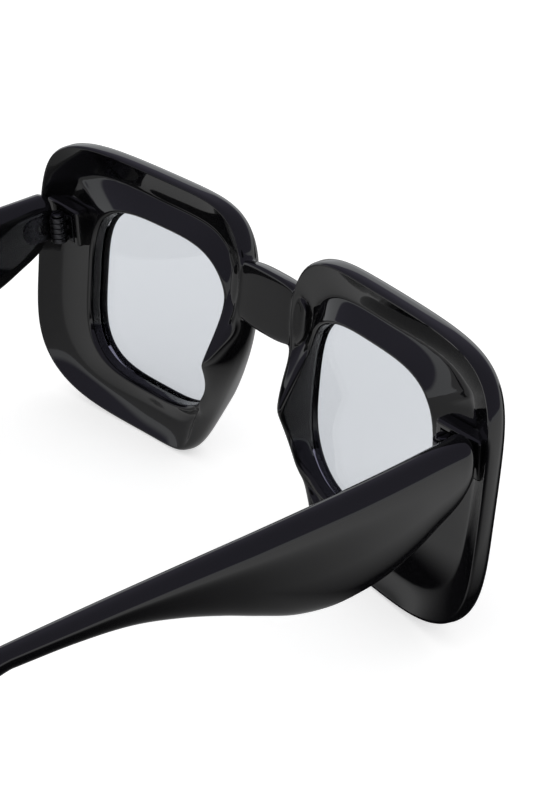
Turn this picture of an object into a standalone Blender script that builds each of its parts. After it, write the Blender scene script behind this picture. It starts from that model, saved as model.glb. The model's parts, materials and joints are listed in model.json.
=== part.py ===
"""Square sunglasses: a chunky moulded front, two tinted lenses and two temples on five-knuckle hinges.

Metres, +Z up. The wearer looks along -Y, so the wearer's left is +X. The glasses stand on their rims and
temple tips, as on a table, and the origin lies on that table under the middle of the whole outline.
"""

import math

import bmesh
import bpy
from mathutils import Matrix, Vector

# Eye opening and rim, in the plane of the front
EYE_HALF_WIDTH = 0.0218
EYE_NOSE_HALF_WIDTH = 0.0198
EYE_HALF_HEIGHT = 0.0191
NOSE_HALF_GAP = 0.0073
RIM_TEMPLE_WIDTH = 0.0173
RIM_TOP_WIDTH = 0.0115
RIM_BOTTOM_WIDTH = 0.0113
RIM_NOSE_WIDTH = 0.0064
RIM_FRONT_BULGE = 0.0043
FACE_CURVE_RADIUS = 0.39
FRONT_LEAN = math.radians(5.5)
EYE_SQUARENESS = (3.6, 3.6, 2.8, 3.6)  # temple top, nose top, nose bottom, temple bottom
RIM_SQUARENESS = (5.2, 4.6, 3.6, 3.6)  # in the same order
EDGE_SQUARENESS = 2.1
LIP_SQUARENESS = 2.6
RIM_STATIONS = 56
CORNER_CROWDING_SHARE = 0.1
FRONT_STEPS = 7
ROUNDING_STEPS = 3
EYE_FROM_MIDDLE = NOSE_HALF_GAP + RIM_NOSE_WIDTH + EYE_NOSE_HALF_WIDTH

# Straight cut beside the nose, and how much rounder the front is there
NOSE_CUT_WIDTH = 0.0031
NOSE_CUT_TURN = math.radians(205.7)
NOSE_CUT_SHARPNESS = 14
NOSE_EASE = 0.8
NOSE_EASE_TURN = math.radians(208)
NOSE_EASE_SPREAD = math.radians(26)

# Rear face: a collar round the eye, a shallow dish, and a crest along the outer edge
COLLAR_HEIGHT = 0.0024
COLLAR_ROUND = 0.0008
CREST_HEIGHT = 0.0023
CREST_TOP_RISE = 0.0003
CREST_ROUND = 0.0008
ROUNDING_SQUARENESS = 2.2
DISH_DEPTH = 0.00205
DISH_UPPER_SHARE = 0.2
DISH_SHARPNESS = 1.2
DISH_LOW_SHARE = 0.4
DISH_TEMPLE_LOW_SHARE = 0.68
COLLAR_FADE = 0.0016
COLLAR_FADE_TURN = math.radians(160)
COLLAR_FADE_SPREAD = math.radians(20)
BROAD_WIDTH = 0.005

# Nose pads moulded into the rims, each a roof of four faces with its peak beside the lens
PAD_RISE = 0.007
PAD_PEAK_OUT = 0.0117
PAD_PEAK_UP = 0.0281
PAD_TOP_SLOPES = (0.1, -0.51)  # away from the middle, and upwards
PAD_NOSE_SLOPES = (0.85, -0.116)
PAD_LOW_SLOPES = (0.8, 0.55)
PAD_END_SLOPES = (-0.35, 0.35)
PAD_LOW_LIFT = 0.0006
PAD_END_LIFT = 0.0033
PAD_SOFTNESS = 0.0006
PAD_FOOT_SOFTNESS = 0.0005
PAD_ROUND = 0.0014
PAD_OUTER_ROUND = 0.003
PAD_ROUND_FADE_SHARES = (0.2, 0.4)

# Groove that holds the lens, and the lens
LENS_THICKNESS = 0.0018
LENS_INSET = 0.0017
LENS_RIDE = 0.0009
GROOVE_DEPTH = 0.0012
LIP_RISE = 0.0017
FRONT_LIP_RISE = 0.0002
LENS_RING_SHARES = (0.35, 0.7, 1.0)

# Bridge between the rims
BRIDGE_HEIGHT = 0.0139
BRIDGE_MIDDLE_BACK = 0.0014
BRIDGE_REAR = 0.001
BRIDGE_FRONT = 0.0061
BRIDGE_FULLNESS = 3
BRIDGE_HALF_LENGTH = 0.0122
BRIDGE_ABOVE_EYE = 0.0144
BRIDGE_STATIONS = 14
BRIDGE_SIDES = 20
BRIDGE_SQUARENESS = 2.1
BRIDGE_REAR_SQUARENESS = 4

# Hinge: axis, knuckles, leaves and screw
HINGE_FROM_EYE = 0.007
HINGE_BACK = 0.0065
HINGE_UP = 0.0413
HINGE_HEIGHT = 0.006
KNUCKLE_COUNT = 5
KNUCKLE_RADIUS = 0.0018
KNUCKLE_GAP = 0.0002
KNUCKLE_ARM = 0.001
LEAF_STANDOFF = 0.0021
LEAF_THICKNESS = 0.0013
LEAF_PROUD = 0.0002
FRONT_LEAF_INWARD = 0.0026
FRONT_LEAF_OUTWARD = 0.0018
TEMPLE_LEAF_LENGTH = 0.0078
WINDOW_SIZE = 0.0016
WINDOW_BACK = 0.0032
SCREW_RADIUS = 0.0007
SCREW_CLEARANCE = 0.0002
SCREW_HEAD_RADIUS = 0.0014
SCREW_HEAD_HEIGHT = 0.0007
SCREW_HEAD_CHAMFER = 0.0002
SCREW_SLOT_WIDTH = 0.0004
SCREW_SLOT_DEPTH = 0.0003
HINGE_OUT = EYE_FROM_MIDDLE + EYE_HALF_WIDTH + HINGE_FROM_EYE
ROUND_SIDES = 20
MERGE_SHARE = 0.01

# Block on the back of the rim that carries the front leaf
BLOCK_OUT = 0.0074
BLOCK_IN = 0.0044
BLOCK_ABOVE = 0.0046
BLOCK_BELOW = 0.004
BLOCK_LENGTH = 0.0034
BLOCK_EDGE = 0.0008
BLOCK_EDGE_PROFILE = 0.5

# Temples
TEMPLE_DROOP = math.radians(2.8)
TEMPLE_FRONT = 0.0009
TEMPLE_TOP_ABOVE_AXIS = 0.0063
TEMPLE_DEPTH = 0.0214
TEMPLE_THICKNESS = 0.007
TEMPLE_STRAIGHT = 0.0965
HOOK_RADIUS = 0.02
HOOK_TURN = math.radians(54)
HOOK_STEPS = 6
TIP_DEPTH = 0.0052
TIP_STEPS = 4
TIP_ROUND_LIFT = 0.0008
TEMPLE_SQUARENESS = 2.5
TEMPLE_SIDES = 20

# How far along the straight part, its share of the depth and its share of the thickness
TEMPLE_SHARES = (
    (0.000, 0.33, 0.72),
    (0.006, 0.41, 0.90),
    (0.020, 0.50, 0.99),
    (0.044, 0.62, 1.01),
    (0.095, 0.745, 1.03),
    (0.148, 0.86, 1.06),
    (0.210, 0.95, 1.08),
    (0.280, 0.99, 1.08),
    (0.350, 0.985, 1.05),
    (0.430, 0.90, 1.00),
    (0.510, 0.74, 0.94),
    (0.580, 0.59, 0.87),
    (0.670, 0.42, 0.79),
    (0.770, 0.275, 0.72),
    (0.880, 0.20, 0.65),
    (1.000, 0.17, 0.56),
)
TIP_THICKNESS = 0.0037
TIP_END_SHARES = ((0.5, 0.93), (0.85, 0.72), (1.0, 0.42))

# Fits and cuts
FIT_GAP = 0.0003
REST_CUT = 0.0003
OVERRUN = 0.004

GLOSS_BLACK = (0.004, 0.004, 0.005)
LENS_GREY = (0.62, 0.64, 0.67)
DARK_METAL = (0.05, 0.05, 0.055)


def clear_scene():
    for thing in list(bpy.data.objects):
        bpy.data.objects.remove(thing, do_unlink=True)


def make_material(name, colour, roughness, metallic=0.0, transmission=0.0):
    made = bpy.data.materials.new(name)
    made.use_nodes = True
    shader = made.node_tree.nodes["Principled BSDF"]
    shader.inputs["Base Color"].default_value = (*colour, 1.0)
    shader.inputs["Roughness"].default_value = roughness
    shader.inputs["Metallic"].default_value = metallic
    shader.inputs["Transmission Weight"].default_value = transmission
    made.diffuse_color = (*colour, 1.0)
    return made


def empty_at(name, place, lean, parent=None):
    made = bpy.data.objects.new(name, None)
    made.location = place
    made.rotation_euler = (lean, 0, 0)
    made.parent = parent
    bpy.context.scene.collection.objects.link(made)
    return made


def object_from(name, shape, parent, material=None, smooth=True):
    """An object of this mesh, in its parent's frame."""
    bmesh.ops.recalc_face_normals(shape, faces=shape.faces)
    mesh = bpy.data.meshes.new(name)
    shape.to_mesh(mesh)
    shape.free()
    if smooth:
        mesh.shade_smooth()
        mesh.set_sharp_from_angle(angle=math.radians(35))
    made = bpy.data.objects.new(name, mesh)
    made.parent = parent
    if material:
        mesh.materials.append(material)
    bpy.context.scene.collection.objects.link(made)
    return made


def helper_from(name, shape, parent):
    """A shape that only cuts or joins others, left out of the model."""
    made = object_from(name, shape, parent, smooth=False)
    made.hide_render = True
    made.display_type = "WIRE"
    return made


def apply_shape(target, other, operation):
    step = target.modifiers.new(other.name, "BOOLEAN")
    step.object = other
    step.operation = operation
    step.solver = "EXACT"


def mirror_across(target):
    step = target.modifiers.new("other_side", "MIRROR")
    step.use_mirror_merge = False


def flip_if_right(shape, side):
    """Shapes are drawn for the wearer's left, and turned over for the right."""
    if side < 0:
        bmesh.ops.scale(shape, vec=(-1, 1, 1), verts=shape.verts)


def skin(shape, rings, close_ends=True, close_loop=False):
    """Faces between rings of points that follow one another, each ring having as many points."""
    rows = [[shape.verts.new(point) for point in ring] for ring in rings]
    pairs = list(zip(rows, rows[1:]))
    if close_loop:
        pairs.append((rows[-1], rows[0]))
    for near, far in pairs:
        count = len(near)
        for i in range(count):
            j = (i + 1) % count
            shape.faces.new((near[i], near[j], far[j], far[i]))
    if close_ends and not close_loop:
        for row in (rows[0], rows[-1]):
            bmesh.ops.contextual_create(shape, geom=row)


def signed_power(value, power):
    return math.copysign(abs(value) ** power, value)


def squared_ring(half_wide, half_high, squareness, sides):
    """Points of a rounded rectangle as (across, up), with one exponent for its squareness."""
    points = []
    for i in range(sides):
        turn = 2 * math.pi * i / sides
        across = half_wide * signed_power(math.cos(turn), 2 / squareness)
        up = half_high * signed_power(math.sin(turn), 2 / squareness)
        points.append((across, up))
    return points


def face_curve(across):
    """How far the front bends back at this distance from its middle."""
    return across * across / (2 * FACE_CURVE_RADIUS)


def station_turns():
    """Directions round the eye, closer together at the corners."""
    turns = [2 * math.pi * i / RIM_STATIONS for i in range(RIM_STATIONS)]
    return [turn + CORNER_CROWDING_SHARE * math.sin(4 * turn) for turn in turns]


def reach(turn, wide, high, corner_squareness):
    """Distance from the eye's centre to a rounded rectangle whose four corners have their own squareness."""
    squareness = 0
    for i, value in enumerate(corner_squareness):
        nearness = max(0, math.cos(turn - math.radians(45 + 90 * i)))
        squareness += value * nearness**2
    across = abs(math.cos(turn) / wide) ** squareness
    up = abs(math.sin(turn) / high) ** squareness
    return (across + up) ** (-1 / squareness)


def eye_reach(turn):
    half_width = EYE_HALF_WIDTH if math.cos(turn) > 0 else EYE_NOSE_HALF_WIDTH
    return reach(turn, half_width, EYE_HALF_HEIGHT, EYE_SQUARENESS)


def rim_reach(turn):
    """The rounded rectangle of the rim, with a straight cut beside the nose."""
    wide = EYE_NOSE_HALF_WIDTH + RIM_NOSE_WIDTH
    if math.cos(turn) > 0:
        wide = EYE_HALF_WIDTH + RIM_TEMPLE_WIDTH
    end_width = RIM_TOP_WIDTH if math.sin(turn) > 0 else RIM_BOTTOM_WIDTH
    plain = reach(turn, wide, EYE_HALF_HEIGHT + end_width, RIM_SQUARENESS)
    cut = eye_reach(NOSE_CUT_TURN) + NOSE_CUT_WIDTH
    facing = max(0, math.cos(turn - NOSE_CUT_TURN)) * plain / cut
    return plain * (1 + facing**NOSE_CUT_SHARPNESS) ** (-1 / NOSE_CUT_SHARPNESS)


def front_squareness(turn):
    away = math.remainder(turn - NOSE_EASE_TURN, 2 * math.pi) / NOSE_EASE_SPREAD
    return EDGE_SQUARENESS - NOSE_EASE * math.exp(-(away**2))


def smooth_step(share):
    share = max(0, min(1, share))
    return share * share * (3 - 2 * share)


def between(first, last, share):
    return first + (last - first) * share


def eye_centre():
    return Vector((EYE_FROM_MIDDLE, 0, RIM_BOTTOM_WIDTH + EYE_HALF_HEIGHT - REST_CUT))


def rounding(share, squareness):
    """How far along and how high a quarter of a rounded corner is, as shares of its two sizes."""
    turn = share * math.pi / 2
    return math.sin(turn) ** (2 / squareness), math.cos(turn) ** (2 / squareness)


def soft_lower(first, second, softness):
    return (first + second - math.hypot(first - second, softness)) / 2


def soft_upper(first, second, softness):
    return (first + second + math.hypot(first - second, softness)) / 2


def pad_height(across, up):
    """Height of the nose pad's faces at this distance from the middle and this height."""
    aside, above = across - PAD_PEAK_OUT, up - PAD_PEAK_UP
    height = PAD_RISE + PAD_TOP_SLOPES[0] * aside + PAD_TOP_SLOPES[1] * above
    lower_faces = ((0, PAD_NOSE_SLOPES), (PAD_LOW_LIFT, PAD_LOW_SLOPES), (PAD_END_LIFT, PAD_END_SLOPES))
    for lift, slopes in lower_faces:
        face = PAD_RISE + lift + slopes[0] * aside + slopes[1] * above
        height = soft_lower(height, face, PAD_SOFTNESS)
    return height


def rear_profile(turn, width, lip):
    """Rear face as (outward from the eye, back): lip, collar, dish, crest and outer side."""
    centre = eye_centre()
    inner = eye_reach(turn)
    broad = smooth_step((width - RIM_NOSE_WIDTH) / BROAD_WIDTH)
    fade = math.remainder(turn - COLLAR_FADE_TURN, 2 * math.pi) / COLLAR_FADE_SPREAD
    collar = COLLAR_HEIGHT - COLLAR_FADE * math.exp(-(fade**2))
    crest = CREST_HEIGHT + CREST_TOP_RISE * max(0, math.sin(turn))
    dish = DISH_DEPTH * (1 + DISH_UPPER_SHARE * math.sin(turn))
    round_in = between(PAD_ROUND, COLLAR_ROUND, broad)
    round_in = min(round_in, width / 2)
    tight = smooth_step((math.sin(turn) - PAD_ROUND_FADE_SHARES[0]) / PAD_ROUND_FADE_SHARES[1])
    round_out = min(between(PAD_OUTER_ROUND, CREST_ROUND, max(broad, tight)), width - round_in)
    low = between(DISH_LOW_SHARE, DISH_TEMPLE_LOW_SHARE, max(0, math.cos(turn)) ** 2)

    def height(share, outward):
        from_low = (low - share) / low if share < low else (share - low) / (1 - low)
        plain = between(collar, crest, smooth_step(share)) - dish * (1 - from_low**DISH_SHARPNESS)
        across = centre.x + (inner + outward) * math.cos(turn)
        pad = pad_height(across, centre.z + (inner + outward) * math.sin(turn))
        return soft_upper(plain, pad, PAD_FOOT_SOFTNESS)

    points = []
    for i in range(ROUNDING_STEPS):
        ahead, left = rounding(i / ROUNDING_STEPS, ROUNDING_SQUARENESS)
        outward = round_in * (1 - left)
        points.append((outward, between(lip, height(0, outward), ahead)))
    for share in (0, low / 2, low, (1 + low) / 2, 1):
        outward = between(round_in, width - round_out, share)
        points.append((outward, height(share, outward)))
    for i in range(1, ROUNDING_STEPS):
        ahead, left = rounding(i / ROUNDING_STEPS, ROUNDING_SQUARENESS)
        outward = width - round_out * (1 - ahead)
        points.append((outward, left * height(1, outward)))
    return points


def rim_profile(turn, width):
    """Section of the rim as (outward from the eye, back): lens groove, rear face, then the puffed front."""
    groove_back = LENS_THICKNESS / 2 - LENS_INSET + FIT_GAP
    groove_front = -LENS_THICKNESS / 2 - LENS_INSET - FIT_GAP
    front_lip = FRONT_LIP_RISE - groove_front
    half = width / 2
    points = [(0, groove_front), (GROOVE_DEPTH, groove_front), (GROOVE_DEPTH, groove_back), (0, groove_back)]
    points += rear_profile(turn, width, groove_back + LIP_RISE)
    for i in range(FRONT_STEPS + 1):
        around = math.pi * i / FRONT_STEPS
        inner = math.cos(around) < 0
        squareness = LIP_SQUARENESS if inner else front_squareness(turn)
        lip = front_lip if inner else 0
        outward = half + half * signed_power(math.cos(around), 2 / squareness)
        rise = abs(math.sin(around)) ** (2 / squareness)
        points.append((outward, -between(lip, RIM_FRONT_BULGE, rise)))
    return points


def rim_shape():
    shape = bmesh.new()
    centre = eye_centre()
    rings = []
    for turn in station_turns():
        inner = eye_reach(turn)
        ring = []
        for outward, back in rim_profile(turn, rim_reach(turn) - inner):
            across = centre.x + (inner + outward) * math.cos(turn)
            up = centre.z + (inner + outward) * math.sin(turn)
            ring.append((across, back + face_curve(across), up))
        rings.append(ring)
    skin(shape, rings, close_loop=True)
    return shape


def bridge_shape():
    """A short puffed bar that runs into both rims and meets them in creases."""
    shape = bmesh.new()
    middle = eye_centre().z + BRIDGE_ABOVE_EYE
    rings = []
    for i in range(1, BRIDGE_STATIONS):
        turn = math.pi * i / BRIDGE_STATIONS
        along = -math.cos(turn)
        swell = (1 - abs(along) ** BRIDGE_FULLNESS) ** (1 / BRIDGE_FULLNESS)
        across = BRIDGE_HALF_LENGTH * along
        ring = []
        for j in range(BRIDGE_SIDES):
            around = 2 * math.pi * j / BRIDGE_SIDES
            behind = math.cos(around) > 0
            power = 2 / (BRIDGE_REAR_SQUARENESS if behind else BRIDGE_SQUARENESS)
            reach_back = swell * (BRIDGE_REAR if behind else BRIDGE_FRONT)
            back = BRIDGE_MIDDLE_BACK + reach_back * signed_power(math.cos(around), power)
            up = middle + swell * BRIDGE_HEIGHT / 2 * signed_power(math.sin(around), power)
            ring.append((across, back, up))
        rings.append(ring)
    skin(shape, rings)
    return shape


def box_shape(low, high):
    shape = bmesh.new()
    bmesh.ops.create_cube(shape, size=1)
    size = Vector(high) - Vector(low)
    middle = (Vector(high) + Vector(low)) / 2
    bmesh.ops.scale(shape, vec=size, verts=shape.verts)
    bmesh.ops.translate(shape, vec=middle, verts=shape.verts)
    return shape


def block_shape(side):
    low = (-BLOCK_IN, -LEAF_STANDOFF - BLOCK_LENGTH, -BLOCK_BELOW)
    high = (BLOCK_OUT, -LEAF_STANDOFF, BLOCK_ABOVE)
    shape = box_shape(low, high)
    profile = BLOCK_EDGE_PROFILE
    bmesh.ops.bevel(shape, geom=shape.edges, offset=BLOCK_EDGE, segments=3, profile=profile, affect="EDGES")
    flip_if_right(shape, side)
    return shape


def prism(shape, outline, start, end, axis):
    """An outline drawn across one axis and drawn out from start to end along it."""
    order = {"x": lambda a, b, c: (c, a, b), "z": lambda a, b, c: (a, b, c)}[axis]
    skin(shape, [[order(a, b, height) for a, b in outline] for height in (start, end)])


def arc(centre, radius, begin, end, steps):
    points = []
    for i in range(steps + 1):
        turn = begin + (end - begin) * i / steps
        points.append((centre[0] + radius * math.cos(turn), centre[1] + radius * math.sin(turn)))
    return points


def knuckle_levels():
    """The bottom and top of each knuckle, from the lowest up."""
    height = (HINGE_HEIGHT - KNUCKLE_GAP * (KNUCKLE_COUNT - 1)) / KNUCKLE_COUNT
    bottoms = [(height + KNUCKLE_GAP) * i - HINGE_HEIGHT / 2 for i in range(KNUCKLE_COUNT)]
    return [(bottom, bottom + height) for bottom in bottoms]


def knuckle_outline(away):
    """A round knuckle with a straight arm as long as away, drawn with the arm along +X."""
    start = math.asin(KNUCKLE_ARM / KNUCKLE_RADIUS)
    points = arc((0, 0), KNUCKLE_RADIUS, start, 2 * math.pi - start, ROUND_SIDES)
    return points + [(away, -KNUCKLE_ARM), (away, KNUCKLE_ARM)]


def knuckles_shape(levels, turn, side):
    """Knuckles on the hinge axis, whose arms reach into the leaf."""
    shape = bmesh.new()
    outline = knuckle_outline(LEAF_STANDOFF + LEAF_THICKNESS / 2)
    for low, high in levels:
        prism(shape, outline, low, high, "z")
    bmesh.ops.rotate(shape, verts=shape.verts, matrix=Matrix.Rotation(turn, 3, "Z"))
    flip_if_right(shape, side)
    return shape


def front_leaf_shape(side, gap=0.0):
    """A plate set in the back of the block, or with a gap, the pocket for it."""
    face = LEAF_PROUD - LEAF_STANDOFF
    half = HINGE_HEIGHT / 2 + gap
    low = (-FRONT_LEAF_INWARD - gap, face - LEAF_THICKNESS - gap, -half)
    shape = box_shape(low, (FRONT_LEAF_OUTWARD + gap, face + (OVERRUN if gap else 0), half))
    flip_if_right(shape, side)
    return shape


def temple_leaf_shape(side, gap=0.0):
    """A plate on the temple's inner face with a round far end, or with a gap, the pocket for it."""
    shape = bmesh.new()
    radius = HINGE_HEIGHT / 2 + gap
    near = -KNUCKLE_ARM - gap
    far_centre = (TEMPLE_LEAF_LENGTH - HINGE_HEIGHT / 2, 0)
    outline = arc(far_centre, radius, -math.pi / 2, math.pi / 2, ROUND_SIDES // 2)
    outline += [(near, radius), (near, -radius)]
    face = LEAF_STANDOFF - LEAF_PROUD
    prism(shape, outline, face - (OVERRUN if gap else 0), face + LEAF_THICKNESS + gap, "x")
    flip_if_right(shape, side)
    return shape


def window_shape(side, gap=0.0):
    """The square opening in the temple leaf, which keys it to the plastic."""
    half = WINDOW_SIZE / 2 - gap
    low = (LEAF_STANDOFF - KNUCKLE_ARM, WINDOW_BACK - half, -half)
    high = (LEAF_STANDOFF + OVERRUN, WINDOW_BACK + half, half)
    shape = box_shape(low, high)
    flip_if_right(shape, side)
    return shape


def turned_shape(profile, sides):
    """A round piece on the hinge axis from (radius, height) points, which start and end on the axis."""
    shape = bmesh.new()
    points = [shape.verts.new((radius, 0, height)) for radius, height in profile]
    edges = [shape.edges.new(pair) for pair in zip(points, points[1:])]
    middle, upward = (0, 0, 0), (0, 0, 1)
    bmesh.ops.spin(shape, geom=points + edges, cent=middle, axis=upward, angle=2 * math.pi, steps=sides)
    bmesh.ops.remove_doubles(shape, verts=shape.verts, dist=MERGE_SHARE * SCREW_CLEARANCE)
    return shape


def screw_shape():
    top = HINGE_HEIGHT / 2 + KNUCKLE_GAP
    foot = -HINGE_HEIGHT / 2
    profile = [
        (0, top + SCREW_HEAD_HEIGHT),
        (SCREW_HEAD_RADIUS - SCREW_HEAD_CHAMFER, top + SCREW_HEAD_HEIGHT),
        (SCREW_HEAD_RADIUS, top + SCREW_HEAD_HEIGHT - SCREW_HEAD_CHAMFER),
        (SCREW_HEAD_RADIUS, top),
        (SCREW_RADIUS, top),
        (SCREW_RADIUS, foot),
        (0, foot),
    ]
    return turned_shape(profile, ROUND_SIDES)


def screw_slot_shape():
    top = HINGE_HEIGHT / 2 + KNUCKLE_GAP + SCREW_HEAD_HEIGHT
    low = (-SCREW_SLOT_WIDTH / 2, -OVERRUN, top - SCREW_SLOT_DEPTH)
    return box_shape(low, (SCREW_SLOT_WIDTH / 2, OVERRUN, top + OVERRUN))


def screw_hole_shape():
    radius = SCREW_RADIUS + SCREW_CLEARANCE
    top = HINGE_HEIGHT / 2 + OVERRUN
    return turned_shape([(0, top), (radius, top), (radius, -top), (0, -top)], ROUND_SIDES)


def tip_run(start_height, down_angle):
    """Length of the straight tip that brings the temple down to the table."""
    heel = TIP_DEPTH * math.cos(down_angle)
    return (start_height - heel) / math.sin(down_angle)


def temple_path():
    """Stations as (top point, direction of travel, depth, thickness), the points as (back, up)."""
    path = []
    start = -TEMPLE_FRONT
    top = TEMPLE_TOP_ABOVE_AXIS
    for along, depth, thick in TEMPLE_SHARES:
        place = (start + along * TEMPLE_STRAIGHT, top)
        path.append((place, 0, depth * TEMPLE_DEPTH, thick * TEMPLE_THICKNESS))
    bend_back, bend_up = start + TEMPLE_STRAIGHT, top - HOOK_RADIUS
    last_depth, last_thick = path[-1][2], path[-1][3]
    for i in range(1, HOOK_STEPS + 1):
        share = i / HOOK_STEPS
        turn = HOOK_TURN * share
        place = (bend_back + HOOK_RADIUS * math.sin(turn), bend_up + HOOK_RADIUS * math.cos(turn))
        depth = last_depth + (TIP_DEPTH - last_depth) * share
        thick = last_thick + (TIP_THICKNESS - last_thick) * share
        path.append((place, turn, depth, thick))
    (back, up), turn, depth, thick = path[-1]
    down = HOOK_TURN + TEMPLE_DROOP
    lean_drop = back * math.sin(TEMPLE_DROOP)
    height = HINGE_UP + up * math.cos(TEMPLE_DROOP) - lean_drop
    run = tip_run(height + REST_CUT + TIP_ROUND_LIFT, down)
    for i in range(1, TIP_STEPS + 1):
        ahead = (run - TIP_DEPTH / 2) * i / TIP_STEPS
        path.append(((back + ahead * math.cos(turn), up - ahead * math.sin(turn)), turn, depth, thick))
    (back, up), turn, depth, thick = path[-1]
    along_back, along_up = math.cos(turn), -math.sin(turn)
    for along, size in TIP_END_SHARES:
        ahead = along * TIP_DEPTH / 2
        inset = (1 - size) * depth / 2
        place = (back + ahead * along_back + inset * along_up, up + ahead * along_up - inset * along_back)
        path.append((place, turn, size * depth, size * thick))
    return path


def temple_shape(side):
    """The temple, whose inner face is flat from the hinge to the tip."""
    shape = bmesh.new()
    rings = []
    for (back, up), turn, depth, thick in temple_path():
        middle = LEAF_STANDOFF + thick / 2
        ring = []
        for across, rise in squared_ring(thick / 2, depth / 2, TEMPLE_SQUARENESS, TEMPLE_SIDES):
            below = depth / 2 - rise
            ring.append((middle + across, back - below * math.sin(turn), up - below * math.cos(turn)))
        rings.append(ring)
    skin(shape, rings)
    flip_if_right(shape, side)
    return shape


def lens_shape(side):
    """A plate that follows the face curve, whose edge rides in the rim's groove."""
    shape = bmesh.new()
    centre = eye_centre()
    sheets = []
    for offset in (-LENS_THICKNESS / 2, LENS_THICKNESS / 2):
        depth = offset - LENS_INSET
        hub = shape.verts.new((centre.x, depth + face_curve(centre.x), centre.z))
        rings = []
        for share in LENS_RING_SHARES:
            ring = []
            for turn in station_turns():
                out = share * (eye_reach(turn) + LENS_RIDE)
                across = centre.x + out * math.cos(turn)
                place = (across, depth + face_curve(across), centre.z + out * math.sin(turn))
                ring.append(shape.verts.new(place))
            rings.append(ring)
        for i in range(RIM_STATIONS):
            j = (i + 1) % RIM_STATIONS
            shape.faces.new((hub, rings[0][i], rings[0][j]))
            for near, far in zip(rings, rings[1:]):
                shape.faces.new((near[i], far[i], far[j], near[j]))
        sheets.append(rings[-1])
    for i in range(RIM_STATIONS):
        j = (i + 1) % RIM_STATIONS
        shape.faces.new((sheets[0][i], sheets[0][j], sheets[1][j], sheets[1][i]))
    flip_if_right(shape, side)
    return shape


def floor_shape(reach_out):
    return box_shape((-reach_out, -reach_out, -reach_out), (reach_out, 2 * reach_out, 0))


def make_front(plane, pivots, floor, plastic):
    front = object_from("front_frame", rim_shape(), plane, plastic)
    mirror_across(front)
    apply_shape(front, helper_from("bridge_form", bridge_shape(), plane), "UNION")
    for side, name in ((1, "left"), (-1, "right")):
        block = helper_from(f"block_form_{name}", block_shape(side), pivots[side])
        pocket = helper_from(f"leaf_pocket_{name}", front_leaf_shape(side, FIT_GAP), pivots[side])
        apply_shape(front, block, "UNION")
        apply_shape(front, pocket, "DIFFERENCE")
    apply_shape(front, floor, "DIFFERENCE")
    return front


def make_side(side, name, plane, pivot, floor, plastic, tint, metal):
    """The lens, temple, hinge leaves and screw of one side."""
    object_from(f"lens_{name}", lens_shape(side), plane, tint)
    levels = knuckle_levels()
    hole = helper_from(f"screw_hole_{name}", screw_hole_shape(), pivot)

    temple = object_from(f"temple_{name}", temple_shape(side), pivot, plastic)
    pocket = helper_from(f"temple_pocket_{name}", temple_leaf_shape(side, FIT_GAP), pivot)
    apply_shape(pocket, helper_from(f"window_key_{name}", window_shape(side, FIT_GAP), pivot), "DIFFERENCE")
    apply_shape(temple, pocket, "DIFFERENCE")
    apply_shape(temple, floor, "DIFFERENCE")

    front_leaf = object_from(f"front_hinge_{name}", front_leaf_shape(side), pivot, metal)
    front_knuckles = knuckles_shape(levels[0::2], -math.pi / 2, side)
    apply_shape(front_leaf, helper_from(f"front_knuckles_{name}", front_knuckles, pivot), "UNION")
    apply_shape(front_leaf, hole, "DIFFERENCE")

    temple_leaf = object_from(f"temple_hinge_{name}", temple_leaf_shape(side), pivot, metal)
    temple_knuckles = knuckles_shape(levels[1::2], 0, side)
    apply_shape(temple_leaf, helper_from(f"temple_knuckles_{name}", temple_knuckles, pivot), "UNION")
    apply_shape(temple_leaf, helper_from(f"window_{name}", window_shape(side), pivot), "DIFFERENCE")
    apply_shape(temple_leaf, hole, "DIFFERENCE")

    screw = object_from(f"hinge_screw_{name}", screw_shape(), pivot, metal)
    apply_shape(screw, helper_from(f"screw_slot_{name}", screw_slot_shape(), pivot), "DIFFERENCE")


def centre_fore_and_aft(root):
    """Moves the root so that the whole outline has its middle over the origin."""
    bpy.context.view_layer.update()
    graph = bpy.context.evaluated_depsgraph_get()
    backs = []
    for thing in bpy.context.scene.objects:
        if thing.type == "MESH" and not thing.hide_render:
            done = thing.evaluated_get(graph)
            backs += [(done.matrix_world @ vertex.co).y for vertex in done.to_mesh().vertices]
            done.to_mesh_clear()
    root.location.y = -(min(backs) + max(backs)) / 2


def main():
    clear_scene()
    plastic = make_material("gloss_black_plastic", GLOSS_BLACK, 0.05)
    tint = make_material("grey_lens_tint", LENS_GREY, 0.02, transmission=0.9)
    metal = make_material("blackened_metal", DARK_METAL, 0.3, metallic=1.0)

    root = empty_at("glasses", (0, 0, 0), 0)
    plane = empty_at("front_plane", (0, 0, 0), FRONT_LEAN, root)
    names = {1: "left", -1: "right"}
    pivots = {}
    for side, name in names.items():
        place = (side * HINGE_OUT, HINGE_BACK, HINGE_UP)
        pivots[side] = empty_at(f"hinge_axis_{name}", place, -TEMPLE_DROOP, root)
    floor = helper_from("table_cut", floor_shape(2 * TEMPLE_STRAIGHT), root)
    make_front(plane, pivots, floor, plastic)
    for side, name in names.items():
        make_side(side, name, plane, pivots[side], floor, plastic, tint, metal)
    centre_fore_and_aft(root)


main()
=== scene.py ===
import json
import math

import bmesh
import bpy
from mathutils import Matrix, Vector
from mathutils.kdtree import KDTree

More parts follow.
